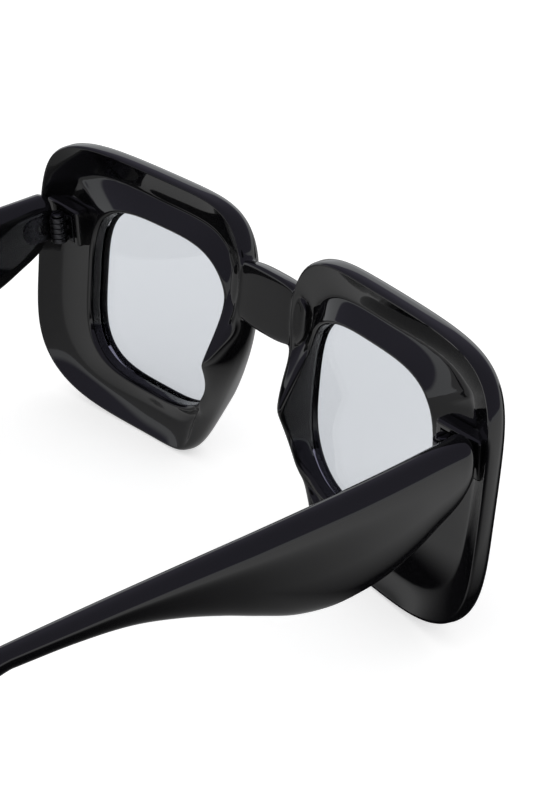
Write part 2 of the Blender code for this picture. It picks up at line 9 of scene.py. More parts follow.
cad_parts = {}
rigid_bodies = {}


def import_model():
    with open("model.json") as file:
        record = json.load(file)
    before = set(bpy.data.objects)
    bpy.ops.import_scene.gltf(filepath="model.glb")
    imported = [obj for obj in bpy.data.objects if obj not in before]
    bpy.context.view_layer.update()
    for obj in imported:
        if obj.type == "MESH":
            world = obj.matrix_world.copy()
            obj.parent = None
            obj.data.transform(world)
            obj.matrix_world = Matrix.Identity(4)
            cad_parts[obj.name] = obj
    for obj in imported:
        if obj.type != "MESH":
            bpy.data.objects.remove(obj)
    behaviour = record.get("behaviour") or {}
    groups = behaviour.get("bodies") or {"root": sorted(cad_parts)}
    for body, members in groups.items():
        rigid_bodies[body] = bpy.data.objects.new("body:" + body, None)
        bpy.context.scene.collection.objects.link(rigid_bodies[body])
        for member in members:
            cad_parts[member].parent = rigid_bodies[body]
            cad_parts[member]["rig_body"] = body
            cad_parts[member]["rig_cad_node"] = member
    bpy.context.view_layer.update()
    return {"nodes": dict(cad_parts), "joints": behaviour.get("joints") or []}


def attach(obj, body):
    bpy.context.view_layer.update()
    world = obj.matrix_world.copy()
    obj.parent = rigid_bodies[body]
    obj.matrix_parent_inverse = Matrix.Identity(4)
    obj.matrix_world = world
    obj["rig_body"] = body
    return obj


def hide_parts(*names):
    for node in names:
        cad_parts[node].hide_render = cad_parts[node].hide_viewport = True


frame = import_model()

print("frame loaded")

sides = {"left": 1, "right": -1}  # the wearer's left is +X
hingeAxis = {joint["name"].split("_")[0]: joint for joint in frame["joints"]}


# What every piece uses. Lengths are in metres and angles in radians.

smoothUpTo = math.radians(40)  # edges between flatter faces than this are shaded smooth


def pickOnly(*objects):
    bpy.ops.object.select_all(action="DESELECT")
    for thing in objects:
        thing.select_set(True)
    bpy.context.view_layer.objects.active = objects[0]


# edit-mode steps on the whole mesh
def editAll(thing, *steps):
    pickOnly(thing)
    bpy.ops.object.mode_set(mode="EDIT")
    bpy.ops.mesh.select_all(action="SELECT")
    for step in steps:
        step()
    bpy.ops.object.mode_set(mode="OBJECT")


def turnOutwards(thing):
    editAll(thing, lambda: bpy.ops.mesh.normals_make_consistent(inside=False))


def applyModifier(thing, kind, **settings):
    pickOnly(thing)
    added = thing.modifiers.new(kind.lower(), kind)
    for key, value in settings.items():
        setattr(added, key, value)
    bpy.ops.object.modifier_apply(modifier=added.name)


def bakePlace(thing):
    pickOnly(thing)
    bpy.ops.object.transform_apply(location=True, rotation=True, scale=True)


def finishPiece(thing, name, material, slot, body, *nodes):
    bakePlace(thing)
    thing.name = name
    thing.data.name = name
    thing.data.materials.clear()
    thing.data.materials.append(material)
    pickOnly(thing)
    bpy.ops.object.shade_smooth_by_angle(angle=smoothUpTo)
    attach(thing, body)
    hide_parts(*nodes)
    print("made", name, len(thing.data.polygons), "faces")


# Blender numbers a sphere's points and faces in another order each run, so they are put in one order
def addSphere(segments, rings):
    bpy.ops.mesh.primitive_uv_sphere_add(segments=segments, ring_count=rings, radius=1)
    made = bpy.context.object
    points = [tuple(vertex.co) for vertex in made.data.vertices]
    order = sorted(range(len(points)), key=lambda i: points[i])
    rank = {old: new for new, old in enumerate(order)}
    faces = []
    for face in made.data.polygons:
        corners = [rank[i] for i in face.vertices]
        first = corners.index(min(corners))
        faces.append(corners[first:] + corners[:first])
    made.data.clear_geometry()
    made.data.from_pydata([points[i] for i in order], [], sorted(faces))
    return made


def signedPower(value, power):
    return math.copysign(abs(value) ** power, value)


# a quarter of a squared circle: one where the share is nothing, nothing where it is one
def roundOff(share, power):
    return max(0, 1 - share**power) ** (1 / power)


# a point of a rounded rectangle, as (across, up)
def squaredPoint(turn, halfWide, halfHigh, squareness):
    across = halfWide * signedPower(math.cos(turn), 2 / squareness)
    return across, halfHigh * signedPower(math.sin(turn), 2 / squareness)


# Camera at the photograph's angle

cameraSetup = {
    "turn": math.radians(231.344),
    "rise": math.radians(29.121),
    "roll": math.radians(0.154),
    "distance": 0.416624,
    "aim": (-0.022988, -0.049575, 0.037),
    "focalPixels": 2169.0,
    "imageHeight": 810,  # pixels
    "sensorHeight": 24,  # millimetres
    "nearClip": 0.01,
}


def makeCamera(setup):
    turn, rise = setup["turn"], setup["rise"]
    back = Vector((math.sin(turn) * math.cos(rise), -math.cos(turn) * math.cos(rise), math.sin(rise)))
    upright = (-back).to_track_quat("-Z", "Y")
    bpy.ops.object.camera_add(location=Vector(setup["aim"]) + setup["distance"] * back)
    camera = bpy.context.object
    camera.rotation_mode = "QUATERNION"
    camera.rotation_quaternion = upright @ Matrix.Rotation(setup["roll"], 3, "Z").to_quaternion()
    camera.data.sensor_fit = "VERTICAL"
    camera.data.sensor_height = setup["sensorHeight"]
    camera.data.lens = setup["sensorHeight"] * setup["focalPixels"] / setup["imageHeight"]
    camera.data.clip_start = setup["nearClip"]
    bpy.context.scene.camera = camera


makeCamera(cameraSetup)
print("camera placed")


# Materials

def newMaterial(name, **sockets):
    made = bpy.data.materials.new(name)
    made.use_nodes = True
    shader = made.node_tree.nodes["Principled BSDF"]
    for key, value in sockets.items():
        shader.inputs[key.replace("_", " ")].default_value = value
    return made, made.node_tree.nodes, made.node_tree.links, shader


# roughness that wanders a little over the surface
def unevenPolish(nodes, links, shader, finish):
    place = nodes.new("ShaderNodeTexCoord")
    noise = nodes.new("ShaderNodeTexNoise")
    noise.inputs["Scale"].default_value = finish["noiseScale"]
    noise.inputs["Detail"].default_value = finish["noiseDetail"]
    ramp = nodes.new("ShaderNodeMapRange")
    ramp.inputs["To Min"].default_value = finish["smoothest"]
    ramp.inputs["To Max"].default_value = finish["roughest"]
    links.new(place.outputs["Object"], noise.inputs["Vector"])
    links.new(noise.outputs["Fac"], ramp.inputs["Value"])
    links.new(ramp.outputs["Result"], shader.inputs["Roughness"])


plasticFinish = {
    "colour": (0.003, 0.003, 0.0035, 1),
    "ior": 1.5,
    "noiseScale": 90,  # faint smears in the gloss
    "noiseDetail": 4,
    "smoothest": 0.02,
    "roughest": 0.06,
}


def glossBlack(finish):
    made, nodes, links, shader = newMaterial(
        "glossBlackPlastic", Base_Color=finish["colour"], IOR=finish["ior"]
    )
    unevenPolish(nodes, links, shader, finish)
    return made


lensFinish = {
    "tint": (0.605, 0.628, 0.66, 1),
    "ior": 1.5,
}


# light passes the lens to the table as through a plain tint, so its shadow stays pale
def greyLens(finish):
    made, nodes, links, shader = newMaterial(
        "greyLensTint", Base_Color=finish["tint"], Roughness=0.0, IOR=finish["ior"], Transmission_Weight=1.0
    )
    rays = nodes.new("ShaderNodeLightPath")
    clear = nodes.new("ShaderNodeBsdfTransparent")
    clear.inputs["Color"].default_value = finish["tint"]
    mix = nodes.new("ShaderNodeMixShader")
    links.new(rays.outputs["Is Shadow Ray"], mix.inputs["Fac"])
    links.new(shader.outputs["BSDF"], mix.inputs[1])
    links.new(clear.outputs["BSDF"], mix.inputs[2])
    links.new(mix.outputs["Shader"], nodes["Material Output"].inputs["Surface"])
    return made


metalFinish = {
    "colour": (0.05, 0.05, 0.055, 1),
    "noiseScale": 900,  # fine satin grain
    "noiseDetail": 2,
    "smoothest": 0.18,
    "roughest": 0.38,
}


def darkMetal(finish):
    made, nodes, links, shader = newMaterial("blackenedSteel", Base_Color=finish["colour"], Metallic=1.0)
    unevenPolish(nodes, links, shader, finish)
    return made


plastic, lensTint, metal = glossBlack(plasticFinish), greyLens(lensFinish), darkMetal(metalFinish)
print("materials ready")


# The front: two puffed rims, the bridge and the hinge blocks, moulded as one

rim = {
    "eyeHalfWidth": 0.0218,
    "eyeNoseHalfWidth": 0.0198,
    "eyeHalfHeight": 0.0191,
    "eyeFromMiddle": 0.0335,
    "templeWidth": 0.0173,
    "topWidth": 0.0115,
    "bottomWidth": 0.0113,
    "noseWidth": 0.0064,
    "noseCutTurn": math.radians(205.7),
    "noseCutWidth": 0.0031,
    "noseCutSharpness": 14,
    "frontBulge": 0.0043,
    "collarHeight": 0.0024,  # the raised ring round the lens
    "collarRound": 0.0008,
    "collarFade": 0.0016,
    "collarFadeTurn": math.radians(160),
    "collarFadeSpread": math.radians(20),
    "collarPower": 2.2,
    "crestHeight": 0.0023,  # the outer ridge
    "topCrestRise": 0.0003,
    "crestRound": 0.0008,
    "edgePower": 2.2,
    "dishDepth": 0.00205,  # the hollow between the two
    "dishUpShare": 0.2,
    "dishPower": 1.2,
    "dishLowShare": 0.4,
    "templeLowShare": 0.68,
    "broadens": 0.005,
    "faceCurveRadius": 0.39,
    "lean": math.radians(5.5),
    "hingeBehind": 0.0065,  # the hinges' axes behind the foot of the front
    "eyeSquareness": (3.6, 3.6, 2.8, 3.6),  # temple top, nose top, nose bottom, temple bottom
    "rimSquareness": (5.2, 4.6, 3.6, 3.6),
    "edgeSquareness": 2.1,
    "lipSquareness": 2.6,
    "stations": 256,  # sections round the eye
    "rearSteps": 56,
    "frontSteps": 32,
    "edgeCrowding": 0.06,
    "crowding": 0.1,
    "padRound": 0.0014,
    "noseEdgeRound": 0.003,
    "tightFrom": 0.2,  # the soft edge beside the nose turns tight again here, as the sine of the turn
    "tightSpan": 0.4,
    "noseEase": 0.8,
    "noseEaseTurn": math.radians(208),
    "noseEaseSpread": math.radians(26),
    "grooveDepth": 0.0012,
    "fitGap": 0.0003,
    "lipRise": 0.0017,
    "lipRound": 0.00016,
    "frontLipRise": 0.0002,
    "restCut": 0.0003,  # the flat that the rims stand on
    "floorCutterSize": 0.4,
}

lens = {
    "thickness": 0.0018,
    "inset": 0.0017,
    "rings": 40,
}

pad = {
    "peak": (0.0117, 0.0281),  # across from the middle and up from the rim's lowest line
    "rise": 0.007,
    "faces": (  # added height at the peak, slope away from the middle, slope upwards
        (0.0, 0.1, -0.51),  # the top face, which looks up
        (0.0, 0.85, -0.116),  # the face that lies on the nose
        (0.0006, 0.8, 0.55),  # its lower part
        (0.0033, -0.35, 0.35),  # the lower end beside the lens
    ),
    "soft": 0.0006,
    "footSoft": 0.0005,
}

bridge = {
    "height": 0.0139,
    "middleBack": 0.0014,
    "rear": 0.001,
    "front": 0.0061,
    "halfLength": 0.0122,
    "fullness": 3,
    "aboveEye": 0.0144,
    "squareness": 2.1,
    "rearSquareness": 4,
    "segments": 96,
    "rings": 72,
}

seam = {
    "within": 0.014,  # corners this near the middle and this high are rounded
    "above": 0.02,
    "width": 0.0016,
    "underWidth": 0.005,
    "underBelow": 0.043,
    "underSpan": 0.004,
    "passes": 30,
    "factor": 0.5,
    "mergeWithin": 0.00006,
    "cornerFrom": math.radians(12),  # inner corners sharper than this are rounded
}

block = {
    "out": 0.0074,
    "in": 0.0044,
    "above": 0.0046,
    "below": 0.004,
    "length": 0.0034,
    "edge": 0.0008,
    "edgeSegments": 8,
}

hinge = {
    "standoff": 0.0021,  # from the axis to the block and to the temple's inner face
    "leafThickness": 0.0013,
    "leafProud": 0.0002,
    "height": 0.006,
    "leafInward": 0.0026,
    "leafOutward": 0.0018,
    "fitGap": 0.0003,
    "edge": 0.00012,
    "edgeSegments": 3,
    "edgeFrom": math.radians(40),  # corners sharper than this are broken
    "mergeWithin": 0.00001,
    "flatWithin": math.radians(1),
}

templeDroop = math.radians(2.8)
eyeCentre = Vector((rim["eyeFromMiddle"], 0, rim["bottomWidth"] + rim["eyeHalfHeight"] - rim["restCut"]))
rootBack = hingeAxis["left"]["pos_m"][1] - rim["hingeBehind"]
frontPlace = Matrix.Translation((0, rootBack, 0)) @ Matrix.Rotation(rim["lean"], 4, "X")


# from the hinge's own frame to the world, turned over for the wearer's right
def hingePlace(side):
    spot = Matrix.Translation(hingeAxis[side]["pos_m"]) @ Matrix.Rotation(-templeDroop, 4, "X")
    return spot @ Matrix.Diagonal((sides[side], 1, 1, 1))


def faceCurve(across):
    return across * across / (2 * rim["faceCurveRadius"])


def stationTurn(share):  # stations crowd at the four corners
    turn = 2 * math.pi * share
    return turn + rim["crowding"] * math.sin(4 * turn)


# from the eye's centre to a rounded rectangle whose corners have their own squareness
def reach(turn, wide, high, corners):
    squareness = 0
    for i, value in enumerate(corners):
        squareness += value * max(0, math.cos(turn - math.radians(45 + 90 * i))) ** 2
    across = abs(math.cos(turn) / wide) ** squareness
    return (across + abs(math.sin(turn) / high) ** squareness) ** (-1 / squareness)


def eyeReach(turn):
    wide = rim["eyeHalfWidth"] if math.cos(turn) > 0 else rim["eyeNoseHalfWidth"]
    return reach(turn, wide, rim["eyeHalfHeight"], rim["eyeSquareness"])


def rimReach(turn):
    wide = rim["eyeHalfWidth"] + rim["templeWidth"]
    if math.cos(turn) < 0:
        wide = rim["eyeNoseHalfWidth"] + rim["noseWidth"]
    high = rim["eyeHalfHeight"] + (rim["topWidth"] if math.sin(turn) > 0 else rim["bottomWidth"])
    plain = reach(turn, wide, high, rim["rimSquareness"])
    cut = eyeReach(rim["noseCutTurn"]) + rim["noseCutWidth"]
    facing = max(0, math.cos(turn - rim["noseCutTurn"])) * plain / cut  # the straight cut beside the nose
    return plain * (1 + facing ** rim["noseCutSharpness"]) ** (-1 / rim["noseCutSharpness"])


# height of the nose pad's faces here, above the plane of the front
def padHeight(across, up):
    aside, above = across - pad["peak"][0], up - pad["peak"][1]
    height = None
    for added, slopeOut, slopeUp in pad["faces"]:
        face = pad["rise"] + added + slopeOut * aside + slopeUp * above
        height = face if height is None else softLower(height, face, pad["soft"])
    return height


def softLower(first, second, soft):
    return (first + second - math.hypot(first - second, soft)) / 2


def softUpper(first, second, soft):
    return (first + second + math.hypot(first - second, soft)) / 2


def frontSquareness(turn):
    away = math.remainder(turn - rim["noseEaseTurn"], 2 * math.pi) / rim["noseEaseSpread"]
    return rim["edgeSquareness"] - rim["noseEase"] * math.exp(-(away**2))


def smoothStep(share):
    share = max(0, min(1, share))
    return share * share * (3 - 2 * share)


def blend(narrow, broad, share):
    return narrow + (broad - narrow) * share


# height of the rear face against the way out from the eye: lip, collar, shallow dish, crest, side
def rearProfile(turn, width, lip):
    broad = smoothStep((width - rim["noseWidth"]) / rim["broadens"])
    aside = math.remainder(turn - rim["collarFadeTurn"], 2 * math.pi) / rim["collarFadeSpread"]
    collar = rim["collarHeight"] - rim["collarFade"] * math.exp(-(aside**2))
    crest = rim["crestHeight"] + rim["topCrestRise"] * max(0, math.sin(turn))
    dish = rim["dishDepth"] * (1 + rim["dishUpShare"] * math.sin(turn))
    roundIn = blend(rim["padRound"], rim["collarRound"], broad)
    tight = max(broad, smoothStep((math.sin(turn) - rim["tightFrom"]) / rim["tightSpan"]))
    edge = min(blend(rim["noseEdgeRound"], rim["crestRound"], tight), width - roundIn)
    run = max(width - roundIn - edge, rim["fitGap"])
    low = blend(rim["dishLowShare"], rim["templeLowShare"], max(0, math.cos(turn)) ** 2)
    heights = []
    for i in range(rim["rearSteps"]):
        share = i / rim["rearSteps"]
        outward = width * (share - rim["edgeCrowding"] * math.sin(2 * math.pi * share))
        across = max(0, min(1, (outward - roundIn) / run))
        fromLow = (low - across) / low if across < low else (across - low) / (1 - low)
        height = collar + (crest - collar) * smoothStep(across) - dish * (1 - fromLow ** rim["dishPower"])
        away = eyeReach(turn) + outward
        padFace = padHeight(eyeCentre.x + away * math.cos(turn), eyeCentre.z + away * math.sin(turn))
        height = softUpper(height, padFace, pad["footSoft"])
        if outward < roundIn:
            inward = 1 - outward / roundIn
            height = lip + (height - lip) * roundOff(inward, rim["collarPower"])
        if outward > width - edge:
            beyond = (outward - width + edge) / edge
            height *= roundOff(beyond, rim["edgePower"])
        heights.append((outward, height))
    return heights


# the rim's section as (outward from the eye, back): lens groove, rear face, then the puffed front
def rimSection(turn, width):
    grooveBack = lens["thickness"] / 2 - lens["inset"] + rim["fitGap"]
    grooveFront = -lens["thickness"] / 2 - lens["inset"] - rim["fitGap"]
    rearLip, frontLip = grooveBack + rim["lipRise"], rim["frontLipRise"] - grooveFront
    half, soft = width / 2, rim["lipRound"]
    points = [(soft, grooveFront), (rim["grooveDepth"], grooveFront), (rim["grooveDepth"], grooveBack)]
    points += [(soft, grooveBack), (0, grooveBack + soft)]
    points += rearProfile(turn, width, rearLip)
    for i in range(rim["frontSteps"] + 1):
        around = math.pi * i / rim["frontSteps"]
        inner = math.cos(around) < 0
        squareness = rim["lipSquareness"] if inner else frontSquareness(turn)
        rise = abs(math.sin(around)) ** (2 / squareness)
        lip = frontLip if inner else 0
        outward = half + half * signedPower(math.cos(around), 2 / squareness)
        points.append((outward, -lip - (rim["frontBulge"] - lip) * rise))
    return points


def makeRim():
    rings = []
    for i in range(rim["stations"]):
        turn = stationTurn(i / rim["stations"])
        inner = eyeReach(turn)
        ring = []
        for outward, back in rimSection(turn, rimReach(turn) - inner):
            across = eyeCentre.x + (inner + outward) * math.cos(turn)
            ring.append((across, back + faceCurve(across), eyeCentre.z + (inner + outward) * math.sin(turn)))
        rings.append(ring)
    bpy.ops.mesh.primitive_torus_add(
        major_segments=len(rings),
        minor_segments=len(rings[0]),
        major_radius=rim["eyeHalfWidth"] + rim["topWidth"] / 2,
        minor_radius=rim["topWidth"] / 2,
    )
    made = bpy.context.object
    for vertex, point in zip(made.data.vertices, [point for ring in rings for point in ring]):
        vertex.co = point
    turnOutwards(made)
    return made


def makeBridge():
    made = addSphere(bridge["segments"], bridge["rings"])
    for vertex in made.data.vertices:
        along = max(-1, min(1, vertex.co.z))
        swell = roundOff(abs(along), bridge["fullness"])
        turn = math.atan2(vertex.co.y, vertex.co.x)
        squareness = bridge["rearSquareness"] if vertex.co.x > 0 else bridge["squareness"]
        share, up = squaredPoint(turn, 1, bridge["height"] / 2 * swell, squareness)
        up += eyeCentre.z + bridge["aboveEye"]
        across = along * bridge["halfLength"]
        back = share * swell * (bridge["rear"] if share > 0 else bridge["front"])
        vertex.co = (across, bridge["middleBack"] + back, up)
    turnOutwards(made)
    return made


# the block behind the rim's temple corner
def makeBlock(side):
    low = Vector((-block["in"], -hinge["standoff"] - block["length"], -block["below"]))
    high = Vector((block["out"], -hinge["standoff"], block["above"]))
    bpy.ops.mesh.primitive_cube_add(size=1, location=(low + high) / 2, scale=high - low)
    made = bpy.context.object
    bakePlace(made)
    editAll(
        made,
        lambda: bpy.ops.mesh.bevel(offset=block["edge"], segments=block["edgeSegments"], profile=0.5),
    )
    made.data.transform(hingePlace(side))
    turnOutwards(made)
    return made


# the room for the front leaf in the block's rear face
def leafPocket(side):
    gap = hinge["fitGap"]
    face = -hinge["standoff"]
    low = Vector((-hinge["leafInward"] - gap, face - hinge["leafThickness"] - gap + hinge["leafProud"], 0))
    high = Vector((hinge["leafOutward"] + gap, face + block["edge"], 0))
    low.z, high.z = -hinge["height"] / 2 - gap, hinge["height"] / 2 + gap
    bpy.ops.mesh.primitive_cube_add(size=1, location=(low + high) / 2, scale=high - low)
    made = bpy.context.object
    bakePlace(made)
    made.data.transform(hingePlace(side))
    turnOutwards(made)
    return made


def unite(target, other, operation="UNION"):
    applyModifier(target, "BOOLEAN", object=other, operation=operation, solver="EXACT")
    bpy.data.objects.remove(other)


# rounds the inner corners where the bridge runs into the rims, most of all underneath
def softenSeams(front):
    editAll(front, lambda: bpy.ops.mesh.remove_doubles(threshold=seam["mergeWithin"]))
    mesh = front.data
    corners = []
    edges = bmesh.new()
    edges.from_mesh(mesh)
    for edge in edges.edges:
        if len(edge.link_faces) == 2 and edge.calc_face_angle_signed(0) < -seam["cornerFrom"]:
            middle = (edge.verts[0].co + edge.verts[1].co) / 2
            if abs(middle.x) < seam["within"] and middle.z > seam["above"]:
                corners.append(middle)
    edges.free()
    tree = KDTree(len(corners))
    for i, corner in enumerate(corners):
        tree.insert(corner, i)
    tree.balance()
    group = front.vertex_groups.new(name="seam")
    for vertex in mesh.vertices:
        if abs(vertex.co.x) < 2 * seam["within"]:
            spot, _, away = tree.find(vertex.co)
            under = max(0, min(1, (seam["underBelow"] - spot.z) / seam["underSpan"]))
            width = seam["width"] + (seam["underWidth"] - seam["width"]) * under
            if away < width:
                group.add([vertex.index], 0.5 + 0.5 * math.cos(math.pi * away / width), "REPLACE")
    applyModifier(front, "SMOOTH", factor=seam["factor"], iterations=seam["passes"], vertex_group="seam")
    front.vertex_groups.clear()


def makeFront():
    front = makeRim()
    applyModifier(front, "MIRROR", use_mirror_merge=False)
    unite(front, makeBridge())
    softenSeams(front)
    front.data.transform(frontPlace)
    for side in sides:
        unite(front, makeBlock(side))
        unite(front, leafPocket(side), "DIFFERENCE")
    cutter = rim["floorCutterSize"]
    bpy.ops.mesh.primitive_cube_add(size=cutter, location=(0, 0, -cutter / 2))
    unite(front, bpy.context.object, "DIFFERENCE")
    finishPiece(front, "front_moulding", plastic, "black_plastic", "front", "front_frame")


makeFront()


# Lenses

def makeLens(side):
    rings = lens["rings"]
    made = addSphere(rim["stations"], rings)
    for vertex in made.data.vertices:
        level = math.acos(max(-1, min(1, vertex.co.z))) / math.pi
        turn = stationTurn(math.atan2(vertex.co.y, vertex.co.x) / (2 * math.pi))
        share = min(1, 2 * min(level, 1 - level) * rings / (rings - 2))
        reachOut = share * (eyeReach(turn) + rim["grooveDepth"] - rim["fitGap"])
        across = eyeCentre.x + reachOut * math.cos(turn)
        offset = max(-1, min(1, (0.5 - level) * rings)) * lens["thickness"] / 2
        back = -offset - lens["inset"] + faceCurve(across)
        vertex.co = (across, back, eyeCentre.z + reachOut * math.sin(turn))
    made.data.transform(frontPlace @ Matrix.Diagonal((sides[side], 1, 1, 1)))
    turnOutwards(made)
    finishPiece(made, f"{side}_lens", lensTint, "grey_lens", "front", f"lens_{side}")


for side in sides:
    makeLens(side)


# Temples

temple = {
    "front": 0.0009,
    "topAboveAxis": 0.0063,
    "depth": 0.0214,
    "thickness": 0.007,
    "straight": 0.0965,
    "hookRadius": 0.02,
    "hookTurn": math.radians(54),
    "tipDepth": 0.0052,
    "tipThickness": 0.0037,
    "tipLift": 0.0008,
    "squareness": 2.5,
    "sides": 72,
    "rings": 220,
    "frontRound": 0.0016,
    "frontFullness": 3,
    "shares": (  # how far along the straight part, share of the depth, share of the thickness
        (0.000, 0.33, 0.72),
        (0.006, 0.41, 0.90),
        (0.020, 0.50, 0.99),
        (0.044, 0.62, 1.01),
        (0.095, 0.745, 1.03),
        (0.148, 0.86, 1.06),
        (0.210, 0.95, 1.08),
        (0.280, 0.99, 1.08),
        (0.350, 0.985, 1.05),
        (0.430, 0.90, 1.00),
        (0.510, 0.74, 0.94),
        (0.580, 0.59, 0.87),
        (0.670, 0.42, 0.79),
        (0.770, 0.275, 0.72),
        (0.880, 0.20, 0.65),
        (1.000, 0.17, 0.56),
    ),
}


# a smooth value between the rows of a table, by its first column
def smoothBetween(rows, along, column):
    spot = max(i for i in range(len(rows) - 1) if rows[i][0] <= along)
    before, start = rows[max(spot - 1, 0)], rows[spot]
    end, after = rows[spot + 1], rows[min(spot + 2, len(rows) - 1)]
    span = end[0] - start[0]
    slopeIn = (end[column] - before[column]) / (end[0] - before[0]) * span
    slopeOut = (after[column] - start[column]) / (after[0] - start[0]) * span
    t = (along - start[0]) / span
    return (
        (2 * t**3 - 3 * t**2 + 1) * start[column]
        + (t**3 - 2 * t**2 + t) * slopeIn
        + (3 * t**2 - 2 * t**3) * end[column]
        + (t**3 - t**2) * slopeOut
    )


# where the straight part, the hook and the tip end, as distances along the top edge
def templeSpine():
    straight, turn = temple["straight"], temple["hookTurn"]
    hook = straight + temple["hookRadius"] * turn
    back = straight - temple["front"] + temple["hookRadius"] * math.sin(turn)
    up = temple["topAboveAxis"] - temple["hookRadius"] * (1 - math.cos(turn))
    height = hingeAxis["left"]["pos_m"][2] + up * math.cos(templeDroop) - back * math.sin(templeDroop)
    down = turn + templeDroop
    heel = temple["tipDepth"] * math.cos(down)
    run = (height + rim["restCut"] + temple["tipLift"] - heel) / math.sin(down)
    return straight, hook, hook + run


# top point, direction of travel, depth and thickness this far along the temple
def templeStation(distance):
    straight, hook, _ = templeSpine()
    top, radius = temple["topAboveAxis"], temple["hookRadius"]
    if distance <= straight:
        depth = temple["depth"] * smoothBetween(temple["shares"], distance / straight, 1)
        thick = temple["thickness"] * smoothBetween(temple["shares"], distance / straight, 2)
        return (distance - temple["front"], top), 0, depth, thick
    turn = min(1, (distance - straight) / (hook - straight)) * temple["hookTurn"]
    share = turn / temple["hookTurn"]
    back = straight - temple["front"] + radius * math.sin(turn)
    up = top - radius + radius * math.cos(turn)
    beyond = max(0, distance - hook)
    lastDepth = temple["depth"] * temple["shares"][-1][1]
    lastThick = temple["thickness"] * temple["shares"][-1][2]
    depth = lastDepth + (temple["tipDepth"] - lastDepth) * share
    thick = lastThick + (temple["tipThickness"] - lastThick) * share
    place = (back + beyond * math.cos(turn), up - beyond * math.sin(turn))
    return place, turn, depth, thick


def makeTemple(side):
    end = templeSpine()[-1]
    rounding = temple["tipDepth"] / 2
    made = addSphere(temple["sides"], temple["rings"])
    for vertex in made.data.vertices:
        level = math.acos(max(-1, min(1, vertex.co.z))) / math.pi
        spin = math.atan2(vertex.co.y, vertex.co.x)
        distance = level * end
        (back, up), turn, depth, thick = templeStation(distance)
        fromFront, fromEnd = min(1, distance / temple["frontRound"]), min(1, (end - distance) / rounding)
        size = roundOff(1 - fromFront, temple["frontFullness"]) * math.sqrt(1 - (1 - fromEnd) ** 2)
        across, rise = squaredPoint(spin, thick / 2, depth / 2, temple["squareness"])
        below = depth / 2 - rise * size
        outward = hinge["standoff"] + thick / 2 + across * size
        vertex.co = (outward, back - below * math.sin(turn), up - below * math.cos(turn))
    made.data.transform(hingePlace(side))
    turnOutwards(made)
    finishPiece(made, f"{side}_temple", plastic, "black_plastic", f"{side}_temple", f"temple_{side}")


for side in sides:
    makeTemple(side)


# Hinges: the frame's own knuckles, leaves and screws with their edges broken

def makeMetal(node, name, body):
    source = frame["nodes"][node]
    pickOnly(source)
    bpy.ops.object.duplicate()
    made = bpy.context.object
    made.parent = None
    for key in ("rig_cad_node", "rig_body"):  # the copy is a piece of its own
        del made[key]
    editAll(
        made,
        lambda: bpy.ops.mesh.remove_doubles(threshold=hinge["mergeWithin"]),
        lambda: bpy.ops.mesh.dissolve_limited(angle_limit=hinge["flatWithin"]),
    )
    applyModifier(
        made,
        "BEVEL",
        width=hinge["edge"],
        segments=hinge["edgeSegments"],
        limit_method="ANGLE",
        angle_limit=hinge["edgeFrom"],
    )
    finishPiece(made, name, metal, "dark_metal", body, node)


for side in sides:
    makeMetal(f"front_hinge_{side}", f"{side}_front_leaf", "front")
    makeMetal(f"temple_hinge_{side}", f"{side}_temple_leaf", f"{side}_temple")
    makeMetal(f"hinge_screw_{side}", f"{side}_screw", "front")


# Table and light

studio = {
    "tableSize": 3.0,
    "tableColour": (0.8, 0.8, 0.8, 1),
    "tableRoughness": 0.9,
    "whitening": 0.54,  # the table's glow for the camera
    "glossWhitening": 0.35,  # and for reflections, a painted glow under the same painted shade
    "unlitSpot": (-0.14, 0.04, 0),  # a painted unlit patch in reflections, beside the tip of the temple on the wearer's right
    "unlitReach": (0.04, 0.16),
    "dimFrom": -0.01,  # painted shade, dimmer towards the wearer's left
    "dimTo": 0.06,
    "dimShare": 0.4,
    "footFrom": -0.052,  # a painted contact shadow, dark close behind the rim on the wearer's right
    "footTo": -0.03,
    "footAside": -0.05,
    "footHalfWidth": 0.03,
    "footFade": 0.03,
    "lightStrength": 0.8,
    "aboveColour": (0.27, 0.258, 0.34, 1),
    "horizonColour": (0.95, 0.97, 1.0, 1),
    "horizonRise": 0.06,
    "ahead": (0.78, -0.625, 0),  # where the horizon stands higher
    "aheadRise": 0.42,
}


def nodeMath(nodes, links, operation, *inputs):
    made = nodes.new("ShaderNodeMath")
    made.operation = operation
    for i, value in enumerate(inputs):
        if isinstance(value, (int, float)):
            made.inputs[i].default_value = value
        else:
            links.new(value, made.inputs[i])
    return made.outputs["Value"]


def fade(nodes, links, value, start, end, low=0, high=1, kind="SMOOTHSTEP"):
    made = nodes.new("ShaderNodeMapRange")
    made.interpolation_type = kind
    made.inputs["From Min"].default_value = start
    made.inputs["From Max"].default_value = end
    made.inputs["To Min"].default_value = low
    made.inputs["To Max"].default_value = high
    links.new(value, made.inputs["Value"])
    return made.outputs["Result"]


# one where the camera looks straight at this, or through a lens, and not in a reflection
def seenStraight(nodes, links):
    rays = nodes.new("ShaderNodeLightPath")
    seen = nodeMath(nodes, links, "ADD", rays.outputs["Is Camera Ray"], rays.outputs["Is Transmission Ray"])
    unmirrored = nodeMath(nodes, links, "LESS_THAN", rays.outputs["Glossy Depth"], 1)
    return nodeMath(nodes, links, "MULTIPLY", seen, unmirrored)
